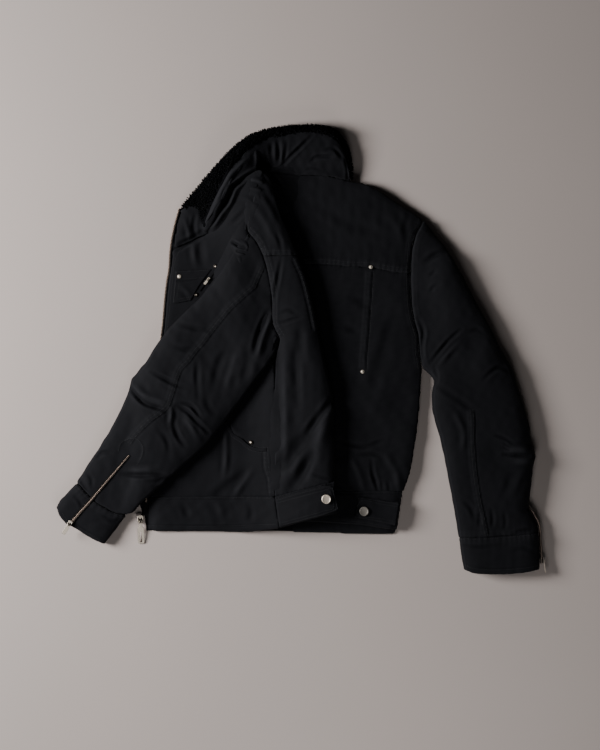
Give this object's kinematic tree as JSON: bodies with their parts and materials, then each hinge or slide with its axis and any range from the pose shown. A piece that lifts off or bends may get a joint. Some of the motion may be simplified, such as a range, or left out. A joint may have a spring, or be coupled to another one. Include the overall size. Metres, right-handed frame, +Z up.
{
  "type": "trucker jacket",
  "caption": "Padded black canvas trucker jacket with a pile-lined collar, laid flat with one front thrown open and the back part-folded.",
  "frame": {"origin": "on the flat underside of the right front panel, near the middle of the laid jacket", "axes": "+X towards the right sleeve, +Y from the hem towards the collar, +Z up from the surface that the jacket lies on"},
  "size_m": [0.8784, 0.8031, 0.0548],
  "materials": {
    "canvas": "dull, dense cotton canvas, black",
    "pile": "deep, curly black pile",
    "nickel": "satin nickel-plated metal"
  },
  "bodies": {
    "jacket": {"front_left": "canvas", "front_right": "canvas", "back_left": "canvas", "back_right": "canvas", "back_yoke_left": "canvas", "back_yoke_right": "canvas", "hidden_layers": "canvas", "sleeve_left": "canvas", "sleeve_right": "canvas", "cuff_left": "canvas", "cuff_right": "canvas", "collar": "canvas", "collar_pile": "pile", "waistband_front_left": "canvas", "waistband_back_left": "canvas", "waistband_back_right": "canvas", "waistband_front_right": "canvas", "tab_left": "canvas", "tab_right": "canvas", "pocket_chest": "canvas", "hand_pocket": "canvas", "front_zip": "nickel", "cuff_zip_left": "nickel", "cuff_zip_right": "nickel", "chest_zip": "nickel", "button_left": "nickel", "button_right": "nickel", "rivet_chest_band": "nickel", "rivet_chest_zip_top": "nickel", "rivet_chest_zip_low": "nickel", "rivet_hand_pocket": "nickel", "rivet_pleat_top": "nickel", "rivet_pleat_low": "nickel", "slider_front": "nickel", "slider_cuff_left": "nickel", "slider_cuff_right": "nickel", "slider_chest": "nickel"},
    "pull_front": {"pull_front": "nickel"},
    "pull_cuff_left": {"pull_cuff_left": "nickel"},
    "pull_cuff_right": {"pull_cuff_right": "nickel"},
    "pull_chest": {"pull_chest": "nickel"}
  },
  "joints": [
    {"name": "lift_pull_front", "type": "hinge", "parent": "jacket", "child": "pull_front", "pos_m": [-0.287, -0.262, 0.0094], "axis": [-0.9994, -0.0349, 0], "range_deg": [0, 150]},
    {"name": "lift_pull_cuff_left", "type": "hinge", "parent": "jacket", "child": "pull_cuff_left", "pos_m": [-0.4135, -0.2675, 0.02708], "axis": [-0.848, 0.5299, 0], "range_deg": [0, 150]},
    {"name": "lift_pull_cuff_right", "type": "hinge", "parent": "jacket", "child": "pull_cuff_right", "pos_m": [0.438, -0.334, 0.0112], "axis": [0, 0, 1], "range_deg": [0, 150]},
    {"name": "lift_pull_chest", "type": "hinge", "parent": "jacket", "child": "pull_chest", "pos_m": [-0.165, 0.1715, 0.01322], "axis": [-0.7986, 0.6018, 0], "range_deg": [0, 150]}
  ]
}
